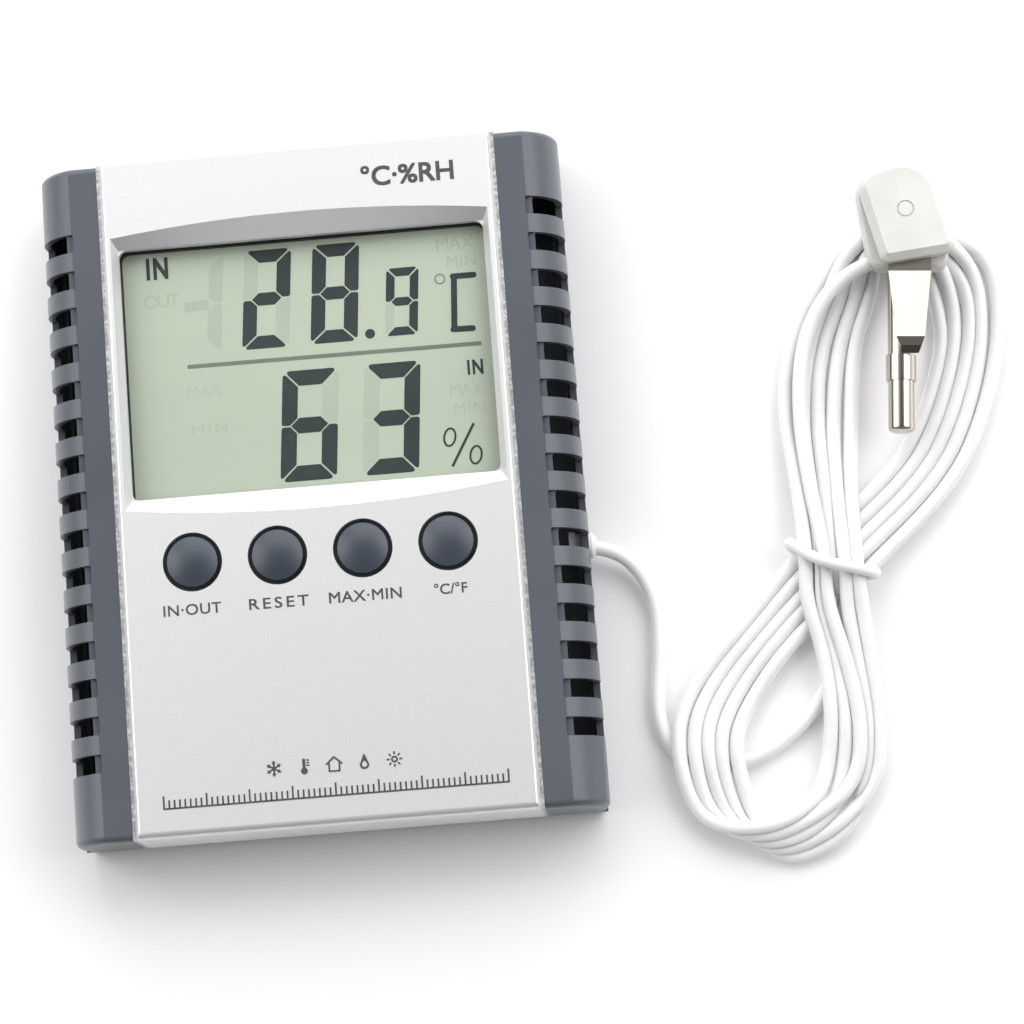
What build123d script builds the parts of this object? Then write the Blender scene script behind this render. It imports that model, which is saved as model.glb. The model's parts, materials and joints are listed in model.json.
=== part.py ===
from build123d import *
import os
from math import pi, radians, tan

os.makedirs("parts", exist_ok=True)

# Millimetres. The instrument lies on its back: +Z points out of the display, +Y to its
# top edge and +X to its right side. The origin is the middle of its back, at z = 0.

# ---- case ----
body_width = 100.0
body_height = 129.5
face_z = 22.0            # height of the silver face above the back
split_z = 5.0            # plane where the back tray meets the front pieces
face_width = 74.4        # raised silver face
ledge = 1.0              # lower silver band beside the face: its width and its drop
skin = 2.0               # moulded wall thickness
top_round = 0.4          # rounding of the face where it meets the top side
bottom_round = 1.3       # where it meets the bottom side
side_round = 0.5         # and where it drops to the ledges
rail_top_z = 21.0
rail_flat = 5.4          # flat front strip of a side rail, before it curves away
rail_widest_z = 10.2     # height at which a rail is widest
rim_round = 1.3          # rounding of a rail's ends
rail_wall = 1.3
tray_inset = 0.9         # how far the back is narrower than the body, each side

# ---- vents ----
slot_count = 15
slot_pitch = 7.13
slot_height = 3.5
slot_bottom_z = 9.8
slot_inner_x = 43.3
slot_step = 1.3          # shallow step at a slot's inner end: its width and its height
slot_step_z = 20.2
gate_ys = (-46.0, -15.0, 15.0, 46.0)      # openings from the rails into the case
gate_half, gate_low_z, gate_high_z = 9.0, 7.0, 14.0

# ---- display window ----
window_width = 69.7
window_height = 48.6
window_y = 23.5          # middle of the window
window_radius = 1.5
bevel_side = 1.2         # how much wider the bevelled recess is than the window, each side
bevel_end = 2.1          # how much taller it is at its corners
bevel_bow = 2.3          # how far its long edges bow outwards
bevel_depth = 1.8
window_pad_z = 19.0      # underside of the thicker wall around the window
lens_thick = 1.2
frame_bottom_z = 16.7    # underside of the black display frame
glass_thick = 2.0
reflector_thick = 0.2
display_width = 72.0
display_height = 52.0
display_z = frame_bottom_z - glass_thick

# ---- circuit board ----
board_z = 10.0
board_thick = 1.6
board_top_z = board_z + board_thick
board_low_y, board_high_y = -25.0, 56.5
board_width = 68.0
board_screw_x, board_screw_low_y, board_screw_high_y = 31.5, -21.5, 53.5

# ---- buttons ----
button_pitch = 16.02
button_y = -13.6
button_hole = 11.2
cap_width = 9.5
cap_skirt = 12.8
cap_proud = 1.1          # height of the cap's crown above the silver face
button_travel = 0.8
switch_height = 3.6

# ---- power ----
cell_width = 10.5        # AAA cell
cell_length = 44.5
bay_y = -38.0
bay_length = 55.0
bay_width = 12.0
bay_roof_z = 13.4
door_thick = 1.6
door_gap = 0.3
door_width, door_height = 62.0, 19.6
door_lift = 0.2          # the door and the stand sit this far inside the back

# ---- stand ----
stand_width, stand_length, stand_thick = 34.0, 36.0, 1.8
stand_hinge_y = 39.0
stand_foot_y = 4.0
hinge_pin = 1.6

# ---- fasteners ----
case_screw_x, case_screw_y = 31.0, 60.5
rail_screw_x, rail_screw_y = 43.8, 59.0
screw_shaft = 2.2
screw_head = 4.4
screw_head_height = 1.5
screw_recess = 0.6       # the heads sit this far inside the back
case_boss, case_pilot_z = 6.0, 15.0       # width of a boss, and the end of its hole
board_boss, board_pilot, board_pilot_z = 5.0, 1.8, 17.0
rail_boss, rail_pilot_z = 5.6, 14.0

# ---- hanging hole ----
hang_y = 50.0
hang_width = 8.0
hang_neck = 4.0

# ---- cord ----
cord_width = 2.8
floor_z = cord_width / 2 + 0.05
exit_y, exit_z = -13.9, 5.0
hank_top_z = 5.8
tie_width = 1.9

# ---- outdoor sensor ----
sensor_x, sensor_y = 111.8, 12.2     # middle of the collar's lower end
sensor_turn = -5.0                   # the probe tube leans this far from +Y
pad_x, pad_y = 115.3, 44.3           # middle of the front pad
front_pad_turn = 12.0                # the two pads lean the other way, the front one further
back_pad_turn = 5.5
probe_width = 5.0
collar_width = 5.8
probe_z = hank_top_z + probe_width / 2 + 0.1
pad_split_z = 10.6       # top of the back pad
front_pad_z = 11.7       # underside of the front pad
pad_top_z = 15.0


def span(x0, x1, y0, y1, z0, z1):
    """Block between two opposite corners."""
    return Pos((x0 + x1) / 2, (y0 + y1) / 2, (z0 + z1) / 2) * Box(x1 - x0, y1 - y0, z1 - z0)


def post(width, x, y, z0, z1):
    """Upright cylinder between two heights."""
    return Pos(x, y, (z0 + z1) / 2) * Cylinder(width / 2, z1 - z0)


def corners(x, y):
    return [(sx * x, sy * y) for sx in (-1, 1) for sy in (-1, 1)]


def save(shape, node):
    export_step(shape, f"parts/{node}.step")


# ---------------------------------------------------------------- silver front cover
def bevel_recess():
    """Shallow bevelled recess whose long edges bow outwards, tapering to the window."""
    half_w, half_h = window_width / 2, window_height / 2
    wide, tall = half_w + bevel_side, half_h + bevel_end
    outer = make_face([
        ThreePointArc((-wide, tall), (0, tall + bevel_bow), (wide, tall)),
        Line((wide, tall), (wide, -tall)),
        ThreePointArc((wide, -tall), (0, -tall - bevel_bow), (-wide, -tall)),
        Line((-wide, -tall), (-wide, tall)),
    ])
    inner = make_face([
        Line((-half_w, half_h), (half_w, half_h)),
        Line((half_w, half_h), (half_w, -half_h)),
        Line((half_w, -half_h), (-half_w, -half_h)),
        Line((-half_w, -half_h), (-half_w, half_h)),
    ])
    low = Plane.XY.offset(face_z - bevel_depth) * inner
    high = Plane.XY.offset(face_z) * outer
    return Pos(0, window_y, 0) * loft([low, high], ruled=True)


def window_cut(z0, z1):
    sheet = RectangleRounded(window_width, window_height, window_radius)
    return Pos(0, window_y, z0) * extrude(sheet, z1 - z0)


def button_xs():
    return [button_pitch * (i - 1.5) for i in range(4)]


def front_cover():
    half_h = body_height / 2
    face = span(-face_width / 2, face_width / 2, -half_h, half_h, split_z, face_z)
    face = fillet(face.edges().group_by(Axis.Z)[-1].filter_by(Axis.Y), side_round)
    band_x = face_width / 2 + ledge
    cover = face + span(-band_x, band_x, -half_h, half_h, split_z, face_z - ledge)
    slab = span(-band_x - 1, band_x + 1, -half_h, half_h, split_z, face_z)
    bottom_edge = slab.edges().filter_by(Axis.X).group_by(Axis.Z)[-1].sort_by(Axis.Y)[0]
    slab = fillet(bottom_edge, bottom_round)
    top_edge = slab.edges().filter_by(Axis.X).group_by(Axis.Z)[-1].sort_by(Axis.Y)[-1]
    cover &= fillet(top_edge, top_round)
    inner_x, inner_y = band_x - skin, half_h - skin
    cover -= span(-inner_x, inner_x, -inner_y, inner_y, split_z, face_z - skin)
    pad_w, pad_h = display_width / 2, window_height / 2 + 5
    cover += span(-pad_w, pad_w, window_y - pad_h, window_y + pad_h, window_pad_z, face_z - skin)
    cover -= bevel_recess()
    cover -= window_cut(window_pad_z, face_z - bevel_depth)
    for x in button_xs():
        cover -= post(button_hole, x, button_y, face_z - skin, face_z)
    for x, y in corners(case_screw_x, case_screw_y):
        cover += post(case_boss, x, y, split_z, face_z - skin)
        cover -= post(screw_shaft, x, y, split_z, case_pilot_z)
    for x in (-board_screw_x, board_screw_x):
        for y in (board_screw_low_y, board_screw_high_y):
            cover += post(board_boss, x, y, board_top_z, face_z - skin)
            cover -= post(board_pilot, x, y, board_top_z, board_pilot_z)
    for y in gate_ys:                         # air gates from the rails to the humidity sensor
        cover -= span(-band_x, band_x, y - gate_half, y + gate_half, gate_low_z, gate_high_z)
    return cover


# ---------------------------------------------------------------- vented side rails
def rail_profile(inset):
    """Outline of the right rail seen along Y, drawn inside the true one by inset."""
    inner_x, outer_x = face_width / 2 + ledge, body_width / 2 - inset
    flat_x, top_z = inner_x + rail_flat, rail_top_z - inset
    foot_x = body_width / 2 - 0.45 - inset
    bulge_z = rail_widest_z
    arc = 0.7071
    middle = (flat_x + (outer_x - flat_x) * arc, bulge_z + (top_z - bulge_z) * arc)
    return make_face([
        Line((inner_x, split_z), (inner_x, top_z)),
        Line((inner_x, top_z), (flat_x, top_z)),
        ThreePointArc((flat_x, top_z), middle, (outer_x, bulge_z)),
        Line((outer_x, bulge_z), (foot_x, split_z)),
        Line((foot_x, split_z), (inner_x, split_z)),
    ])


def rail_prism(inset, half_length):
    # drawn across the body and extruded both ways, so the rail is centred along Y
    return extrude(Plane.XZ * rail_profile(inset), half_length, both=True)


def vent_slots():
    """Cutters for the slots; each has a shallow step at its inner end."""
    outer_x = body_width / 2 + 1
    cutter = None
    for inner_x, bottom_z in ((slot_inner_x, slot_step_z), (slot_inner_x + slot_step, slot_bottom_z)):
        depth = outer_x - inner_x
        sheet = Pos(inner_x + depth / 2, 0) * Rectangle(depth, slot_height)
        sheet = fillet(sheet.vertices().group_by(Axis.X)[0], 0.4)
        cut = Pos(0, 0, bottom_z) * extrude(sheet, face_z - bottom_z)
        cutter = cut if cutter is None else cutter + cut
    middle = (slot_count - 1) / 2
    return [Pos(0, slot_pitch * (middle - i), 0) * cutter for i in range(slot_count)]


def right_rail():
    half = body_height / 2
    outside = rail_prism(0, half)
    ends = outside.faces().filter_by(Axis.Y)
    rim = [e for f in ends for e in f.edges() if e.center().Z > split_z + 0.1
           and e.center().X > face_width / 2 + ledge + 0.1]
    outside = fillet(rim, rim_round)
    rail = outside - rail_prism(rail_wall, half - skin)
    for y in (-rail_screw_y, rail_screw_y):
        rail += post(rail_boss, rail_screw_x, y, split_z, rail_top_z) & outside
        rail -= post(screw_shaft, rail_screw_x, y, split_z, rail_pilot_z)
    rail -= vent_slots()
    return rail


def cord_hole():
    return Pos(body_width / 2 - 2, exit_y, exit_z) * Rot(0, 90, 0) * Cylinder(2.4, 8)


# ---------------------------------------------------------------- back tray
def tray_block():
    """Back tray: as wide as the body at the split plane, a little narrower at the back."""
    half_x, half_y = body_width / 2, body_height / 2
    low = Plane.XY * Rectangle(2 * (half_x - tray_inset), 2 * (half_y - 0.5))
    top = Plane.XY.offset(split_z) * Rectangle(2 * (half_x - 0.45), 2 * half_y)
    block = loft([low, top], ruled=True)
    return fillet(block.edges().group_by(Axis.Z)[0], 0.8)


def hang_hole():
    return post(hang_width, 0, hang_y, 0, skin) + span(
        -hang_neck / 2, hang_neck / 2, hang_y, hang_y + 5.0, 0, skin) + post(
        hang_neck, 0, hang_y + 5.0, 0, skin)


def cradle(x0, x1, y0, y1, roof_z, wall):
    """Walls and roof of a pocket that opens through the back."""
    return span(x0 - wall, x1 + wall, y0 - wall, y1 + wall, 0, roof_z + wall)


def rear_cover():
    half_x, half_y = body_width / 2 - 0.45, body_height / 2
    tray = tray_block()
    tray -= span(-half_x + skin, half_x - skin, -half_y + skin, half_y - skin, skin, split_z)
    screw_spots = corners(case_screw_x, case_screw_y) + corners(rail_screw_x, rail_screw_y)
    for x, y in screw_spots:
        tray += post(case_boss, x, y, 0, split_z)

    bay_x, bay_half = bay_length / 2, bay_width / 2
    recess_x, recess_y = door_width / 2 + door_gap, door_height / 2 + door_gap
    tray += cradle(-bay_x, bay_x, bay_y - bay_half, bay_y + bay_half, bay_roof_z, 1.5)
    tray += span(-recess_x - 3.5, recess_x + 3.5, bay_y - recess_y - 1.5,
                 bay_y + recess_y + 1.5, 0, door_thick + door_lift + 1.6)
    tray -= span(-bay_x, bay_x, bay_y - bay_half, bay_y + bay_half, 0, bay_roof_z)
    tray -= span(-recess_x, recess_x, bay_y - recess_y, bay_y + recess_y,
                 0, door_thick + door_lift + 0.2)
    tray -= Pos(0, door_axis_y(), door_axis_z()) * Rot(0, 90, 0) * Cylinder(0.65, door_width + 3.4)
    tray -= Pos(0, bay_y - recess_y, 0) * Cylinder(6.0, 2.4)      # thumb scoop for the door

    pocket_x, pocket_roof = stand_width / 2 + 0.6, stand_thick + door_lift + 0.8
    pocket_y0, pocket_y1 = stand_foot_y - 0.8, stand_hinge_y + 2.4
    tray += cradle(-pocket_x, pocket_x, pocket_y0, pocket_y1, pocket_roof, 1.5)
    tray += span(-pocket_x - 4, pocket_x + 4, stand_hinge_y - 3, stand_hinge_y + 3, 0, 4.3)
    tray -= span(-pocket_x, pocket_x, pocket_y0, pocket_y1, 0, pocket_roof)
    tray -= Pos(0, stand_hinge_y, stand_axis_z()) * Rot(0, 90, 0) * Cylinder(
        hinge_pin / 2 + 0.05, stand_width + 6.4)
    tray -= Pos(0, pocket_y0, 0) * Cylinder(7.0, 2 * 1.6)         # finger scoop for the stand

    tray -= hang_hole()
    for x, y in screw_spots:
        tray -= post(screw_head + 0.6, x, y, 0, screw_recess + screw_head_height)
        tray -= post(screw_shaft, x, y, 0, split_z)
    return tray - cord_hole()


# ---------------------------------------------------------------- door and stand
def door_axis_y():
    return bay_y + door_height / 2 - 0.8


def door_axis_z():
    return door_lift + door_thick / 2


def stand_axis_z():
    return door_lift + stand_thick / 2


def battery_door():
    low, high = bay_y - door_height / 2, bay_y + door_height / 2
    panel = span(-door_width / 2, door_width / 2, low, high, door_lift, door_lift + door_thick)
    hinge_edges = panel.edges().filter_by(Axis.X).group_by(Axis.Y)[-1]
    panel = fillet(hinge_edges, door_thick / 2 - 0.05)
    for i in range(5):                                            # grip ribs for the thumb
        y = low + 3.0 + 1.6 * i
        panel -= span(-7, 7, y - 0.35, y + 0.35, door_lift, door_lift + 0.4)
    return panel + Pos(0, door_axis_y(), door_axis_z()) * Rot(0, 90, 0) * Cylinder(
        0.6, door_width + 2.8)


def stand():
    top_y = stand_foot_y + stand_length
    low, high = door_lift, door_lift + stand_thick
    plate = span(-stand_width / 2, stand_width / 2, stand_foot_y, top_y, low, high)
    plate = fillet(plate.edges().filter_by(Axis.Z).group_by(Axis.Y)[0], 3.0)
    hinge_edges = plate.edges().filter_by(Axis.X).group_by(Axis.Y)[-1]
    plate = fillet(hinge_edges, stand_thick / 2 - 0.05)
    panel = Pos(0, stand_foot_y + 17, low) * extrude(RectangleRounded(24, 22, 3), 0.5)
    plate -= panel
    pin = Pos(0, stand_hinge_y, stand_axis_z()) * Rot(0, 90, 0) * Cylinder(
        hinge_pin / 2, stand_width + 5.4)
    return plate + pin


# ---------------------------------------------------------------- display stack
def lcd_lens():
    top = window_pad_z
    sheet = RectangleRounded(display_width - 0.4, window_height + 3.0, 1.0)
    return Pos(0, window_y, top - lens_thick) * extrude(sheet, lens_thick)


def lcd_frame():
    high, low = window_pad_z - lens_thick, frame_bottom_z
    ring = RectangleRounded(display_width, display_height, 1.0)
    hole = RectangleRounded(window_width - 0.2, window_height - 0.2, window_radius)
    return Pos(0, window_y, low) * extrude(ring - hole, high - low)


def lcd_glass():
    sheet = Rectangle(display_width, display_height)
    return Pos(0, window_y, display_z) * extrude(sheet, glass_thick)


def lcd_reflector():
    sheet = Rectangle(display_width, display_height - 6)
    return Pos(0, window_y, display_z - reflector_thick) * extrude(sheet, reflector_thick)


def contact_strips():
    """The two striped rubber strips that carry the board's signals to the display."""
    strips = []
    for side in (-1, 1):
        y = window_y + side * (display_height / 2 - 1.25)
        strips.append(span(-32, 32, y - 1.0, y + 1.0, board_top_z, display_z))
    return Compound(strips)


# ---------------------------------------------------------------- board and parts on it
def main_board():
    half = board_width / 2
    board = span(-half, half, board_low_y, board_high_y, board_z, board_top_z)
    board = fillet(board.edges().filter_by(Axis.Z), 1.5)
    for x in (-board_screw_x, board_screw_x):
        for y in (board_screw_low_y, board_screw_high_y):
            board -= post(2.2, x, y, board_z, board_top_z)
    return board


def tact_switches():
    """Four push switches: a square metal can with a round actuator."""
    switches = []
    for x in button_xs():
        can = span(x - 3, x + 3, button_y - 3, button_y + 3, board_top_z, board_top_z + 2.6)
        can += post(3.2, x, button_y, board_top_z + 2.6, board_top_z + switch_height)
        switches.append(can)
    return Compound(switches)


def chip_blob():
    """Resin drop over the bonded chip, under the board."""
    drop = Pos(0, 20, board_z) * Rot(180, 0, 0) * Cone(7.0, 4.0, 1.8, align=(Align.CENTER,
                                                                            Align.CENTER, Align.MIN))
    return fillet(drop.faces().sort_by(Axis.Z)[0].edges(), 0.8)


def capacitors():
    cans = []
    for x in (-14.0, 14.0):
        cans.append(Pos(x, 4, board_z - 2.1) * Rot(90, 0, 0) * Cylinder(2.0, 7.0))
    return Compound(cans)


def crystal():
    return Pos(10, 32, board_z - 1.1) * Rot(90, 0, 0) * Cylinder(1.0, 6.0)


def humidity_sensor():
    """Upright plate in a vented shell on two legs, near the left vents."""
    shell = span(-31.5, -28.5, 8, 18, 4.2, 8.0)
    for y in (10.5, 13.0, 15.5):
        shell -= span(-31.5, -31.0, y - 0.6, y + 0.6, 5.0, 7.2)
    for y in (10.5, 15.5):
        shell += span(-30.3, -29.7, y - 0.3, y + 0.3, 8.0, board_z)
    return shell


def room_thermistor():
    """Small bead on two legs at the right edge of the board."""
    bead = Pos(31.0, 12, 6.2) * Sphere(1.3)
    legs = [span(30.8, 31.2, y - 0.2, y + 0.2, 6.2, board_z) for y in (11.2, 12.8)]
    return bead + legs


# ---------------------------------------------------------------- power
def battery():
    turn = Pos(0, bay_y, cell_axis_z()) * Rot(0, 90, 0)
    can = Cylinder(cell_width / 2, cell_length - 0.9)
    can = fillet(can.edges(), 0.5)
    nub = Pos(0, 0, cell_length / 2 - 0.6) * Cylinder(1.9, 1.2)
    return turn * (can + nub)


def cell_axis_z():
    return door_lift + door_thick + 0.5 + cell_width / 2


def contact_plate():
    """Sprung plate that touches the cell's positive end."""
    x = bay_length / 2
    plate = span(x - 0.4, x, bay_y - 4, bay_y + 4, 3.5, 12.0)
    reach = x - 0.4 - cell_length / 2
    button = Pos(x - 0.4 - reach / 2, bay_y, cell_axis_z()) * Rot(0, 90, 0) * Cylinder(2.4, reach)
    return plate + button


def contact_spring():
    """Plate and conical coil that push on the cell's negative end."""
    x = -bay_length / 2
    plate = span(x, x + 0.4, bay_y - 4, bay_y + 4, 3.5, 12.0)
    axis = Pos(x + 0.4, bay_y, cell_axis_z()) * Rot(0, 90, 0)
    coil = [axis * Pos(0, 0, 0.4 + 0.95 * i) * Torus(3.6 - 0.35 * i, 0.45) for i in range(5)]
    bridge = [axis * Pos(3.6 - 0.35 * i - 0.2, 0, 0.87 + 0.95 * i) * Cylinder(0.42, 0.95)
              for i in range(4)]
    return plate + coil + bridge


# ---------------------------------------------------------------- fasteners
def screw(x, y, head_z, length, shaft, head):
    """Pan-head screw driven upwards from the back; its head's underside is at head_z."""
    top = Pos(x, y, head_z - screw_head_height / 2) * Cylinder(head / 2, screw_head_height)
    top = fillet(top.edges().group_by(Axis.Z)[0], 0.4)
    cross = span(x - 1.3, x + 1.3, y - 0.25, y + 0.25, head_z - screw_head_height,
                 head_z - screw_head_height + 0.7)
    cross += span(x - 0.25, x + 0.25, y - 1.3, y + 1.3, head_z - screw_head_height,
                  head_z - screw_head_height + 0.7)
    return top - cross + post(shaft, x, y, head_z, head_z + length)


def case_screws():
    head_z = screw_recess + screw_head_height
    return Compound([screw(x, y, head_z, 11.0, screw_shaft, screw_head)
                     for x, y in corners(case_screw_x, case_screw_y)])


def rail_screws():
    head_z = screw_recess + screw_head_height
    return Compound([screw(x, y, head_z, 10.0, screw_shaft, screw_head)
                     for x, y in corners(rail_screw_x, rail_screw_y)])


def board_screws():
    spots = [(x, y) for x in (-board_screw_x, board_screw_x)
             for y in (board_screw_low_y, board_screw_high_y)]
    return Compound([screw(x, y, board_z, 6.0, board_pilot, 3.6) for x, y in spots])


# ---------------------------------------------------------------- buttons
def button_cap(x):
    """Domed cap on a skirt that is held under the silver face, with a plunger below."""
    skirt_top = face_z - skin - 0.1
    cap = post(cap_skirt, x, button_y, skirt_top - 0.9, skirt_top)
    cap += post(cap_width, x, button_y, skirt_top, face_z + 0.2)
    crown = cap_proud - 0.2
    radius = ((cap_width / 2) ** 2 + crown ** 2) / (2 * crown)
    ball = Pos(x, button_y, face_z + cap_proud - radius) * Sphere(radius)
    cap += ball & post(cap_width, x, button_y, face_z + 0.2, face_z + cap_proud)
    plunger_z = board_top_z + switch_height + button_travel + 0.4
    return cap + post(3.4, x, button_y, plunger_z, skirt_top - 0.9)


# ---------------------------------------------------------------- cord
route = [                      # middle of the cord, from inside the case to the hank
    (46.4, -13.6, exit_z),
    (53.6, -14.4, exit_z - 0.3),
    (58.8, -18.2, 2.7),
    (61.95, -25.4, 1.6),
    (61.6, -35.5, floor_z),
    (60.0, -46.5, floor_z),
    (62.4, -54.2, floor_z),
]


def bend_radii(points):
    radii = []
    for before, here, after in zip(points, points[1:], points[2:]):
        a, b, c = Vector(*before), Vector(*here), Vector(*after)
        turn = (b - a).get_angle(c - b)
        radii.append(0.45 * min((b - a).length, (c - b).length) / tan(radians(turn / 2)))
    return radii


def cord_tube():
    radii = bend_radii(route)
    print("cord bend radii:", [round(r, 1) for r in radii])
    path = FilletPolyline(*route, radius=radii)
    section = Plane(origin=path @ 0, z_dir=path % 0) * Circle(cord_width / 2)
    tube = sweep(section, path=path)
    print("cord tube length", round(path.length, 1), "volume", round(tube.volume, 1),
          "of", round(pi * cord_width ** 2 / 4 * path.length, 1))
    return tube


def loop_sheet(points):
    return make_face(Spline(*points, periodic=True))


def cord_hank():
    """Outer shape of the figure-of-eight hank, with the openings of its two loops."""
    lower = loop_sheet([(97, -17), (102, -30), (103.4, -47), (100.5, -64), (92, -73.5),
                        (80, -76.5), (68.5, -71), (62.6, -58), (65, -46), (74, -33), (87, -21)])
    upper = loop_sheet([(90.2, -19), (88.3, -2), (88.6, 14), (94.5, 30), (106, 41.5), (120, 42.5),
                        (129.5, 34.5), (133, 22), (130, 10), (120, -5.5), (105, -21)])
    lower_gap = loop_sheet([(89.6, -31), (80.5, -43), (75.6, -56), (77.5, -66.5), (84, -66.5),
                            (89.5, -58), (91.2, -46)])
    upper_gap = loop_sheet([(103, -12.5), (102.8, 4), (104.5, 20), (108, 30), (116.5, 29.5),
                            (119, 20), (115.5, 5.5), (108.5, -7)])
    return extrude(lower + upper - lower_gap - upper_gap, hank_top_z)


def hank_tie():
    """The cord's own short tie, once round the waist of the hank."""
    middle, lean = (95.7, -19.6), -22.0
    ring = RectangleRounded(19.6, 9.4, 2.6) - RectangleRounded(15.8, 5.6, 0.9)
    band = extrude(Plane.XZ * ring, tie_width / 2, both=True)
    return Pos(*middle, 4.7) * Rot(0, 0, lean) * band


def cord_grommet():
    """Soft bush in the side of the case, with a short taper where the cord leaves."""
    length, mouth = 4.0, body_width / 2 + 1.4
    axis = Pos(mouth - length, exit_y, exit_z) * Rot(0, 90, 0)
    bush = axis * Pos(0, 0, length / 2) * Cylinder(2.4, length)
    bush = chamfer(bush.edges().group_by(Axis.X)[-1], 0.9)
    bush += axis * Pos(0, 0, -0.6) * Cylinder(2.9, 1.2)
    # the cord crosses the bush a little aslant, so its bore is a straight cut along the cord
    start, end = Vector(*route[0]), Vector(*route[1])
    line = Plane(origin=start, z_dir=end - start)
    return bush - line * Pos(0, 0, 4) * Cylinder(cord_width / 2 + 0.05, 12)


# ---------------------------------------------------------------- outdoor sensor
def sensor_place():
    return Pos(sensor_x, sensor_y, 0) * Rot(0, 0, sensor_turn)


def along(width, y0, y1):
    """Cylinder along the probe's own Y, at the height of its axis."""
    return Pos(0, (y0 + y1) / 2, probe_z) * Rot(90, 0, 0) * Cylinder(width / 2, y1 - y0)


def sensor_tube():
    tube = along(probe_width, -9.8, 21.6)
    tube = fillet(tube.edges().group_by(Axis.Y)[0], 0.8)
    return sensor_place() * tube


def sensor_collar():
    ring = along(collar_width, 0, 5.0) - along(probe_width, 0, 5.0)
    return sensor_place() * ring


def sensor_leaf():
    """Sprung metal leaf: rises from the collar, then runs between the two pads."""
    thick, shift = 0.4, 1.6
    side = [(4.9, 11.35), (6.4, 11.45), (7.9, 12.5), (21.0, 11.1), (27.0, 11.0)]
    above = [(y, z + thick) for y, z in reversed(side)]
    strip = make_face(Polyline(*side, *above, close=True))
    body = extrude(Plane.YZ * strip, 6, both=True)
    plan = make_face(Polyline((-1.2, 4.9), (1.6, 4.9), (2.7, 7.9), (4.1, 21.5), (4.1, 27.0),
                              (-4.1, 27.0), (-4.1, 21.5), (-2.7, 7.9), close=True))
    return sensor_place() * Pos(shift, 0, 0) * (body & extrude(plan, 20))


def pad_place(turn, dx=0.0, dy=0.0):
    return Pos(pad_x + dx, pad_y + dy, 0) * Rot(0, 0, turn)


def pad_sheet(width, length, drop):
    """Plate with a rounded upper end; its lower edge falls by twice drop from left to right."""
    half, low, high = width / 2, -length / 2, length / 2
    left, right, fall, bow = 3.6, 6.5, 7.6, 0.29      # reach of the two upper corners
    return make_face([
        Line((-half, low + drop), (half, low - drop)),
        Line((half, low - drop), (half, high - fall)),
        ThreePointArc((half, high - fall), (half - right * bow, high - fall * bow),
                      (half - right, high)),
        Line((half - right, high), (-half + left, high)),
        ThreePointArc((-half + left, high), (-half + left * bow, high - left * bow),
                      (-half, high - left)),
        Line((-half, high - left), (-half, low + drop)),
    ])


def lower_corners(sheet):
    return sheet.vertices().sort_by(Axis.Y)[:2]


def sensor_front_pad():
    sheet = pad_sheet(14.3, 18.9, 0.9)
    sheet = fillet(lower_corners(sheet), 1.8)
    pad = Pos(0, 0, front_pad_z) * extrude(sheet, pad_top_z - front_pad_z)
    pad = chamfer(pad.edges().group_by(Axis.Z)[-1], 1.3)
    floor = pad_top_z - 0.25
    dimple = post(3.4, 0, 0, floor, pad_top_z) - post(2.6, 0, 0, floor, pad_top_z)
    return pad_place(front_pad_turn) * (pad - dimple)


def sensor_back_pad():
    sheet = pad_sheet(15.3, 19.0, 1.4)
    sheet = fillet(lower_corners(sheet), 2.4)
    pad = Pos(0, 0, hank_top_z) * extrude(sheet, pad_split_z - hank_top_z)
    pad = chamfer(pad.edges().group_by(Axis.Z)[-1], 0.6)
    pad = pad_place(back_pad_turn, -0.7, -0.9) * pad
    # pocket for the end of the probe
    return pad - sensor_place() * along(probe_width + 0.1, 15, 21.7)


rail = right_rail()
left_rail = mirror(rail, Plane.YZ)
save(front_cover(), "front_cover")
save(rear_cover(), "rear_cover")
save(left_rail, "left_vent_rail")
save(rail - cord_hole(), "right_vent_rail")
save(lcd_lens(), "lcd_lens")
save(lcd_frame(), "lcd_frame")
save(lcd_glass(), "lcd_glass")
save(lcd_reflector(), "lcd_reflector")
save(contact_strips(), "contact_strips")
save(main_board(), "main_board")
save(tact_switches(), "tact_switches")
save(chip_blob(), "chip_blob")
save(capacitors(), "capacitors")
save(crystal(), "crystal")
save(humidity_sensor(), "humidity_sensor")
save(room_thermistor(), "room_thermistor")
save(battery(), "battery_aaa")
save(contact_plate(), "contact_plate")
save(contact_spring(), "contact_spring")
save(battery_door(), "battery_door")
save(stand(), "stand")
save(case_screws(), "case_screws")
save(rail_screws(), "rail_screws")
save(board_screws(), "board_screws")
for node, x in zip(("in_out_button", "reset_button", "max_min_button", "unit_button"), button_xs()):
    save(button_cap(x), node)
save(cord_grommet(), "cord_grommet")
save(cord_tube(), "cord_tube")
save(cord_hank(), "cord_hank")
save(hank_tie(), "hank_tie")
save(sensor_tube(), "sensor_tube")
save(sensor_collar(), "sensor_collar")
save(sensor_leaf(), "sensor_leaf")
save(sensor_front_pad(), "sensor_front_pad")
save(sensor_back_pad(), "sensor_back_pad")
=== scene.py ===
import json
from math import cos, hypot, pi, radians, sin
import bpy
from mathutils import Matrix, Vector


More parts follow.
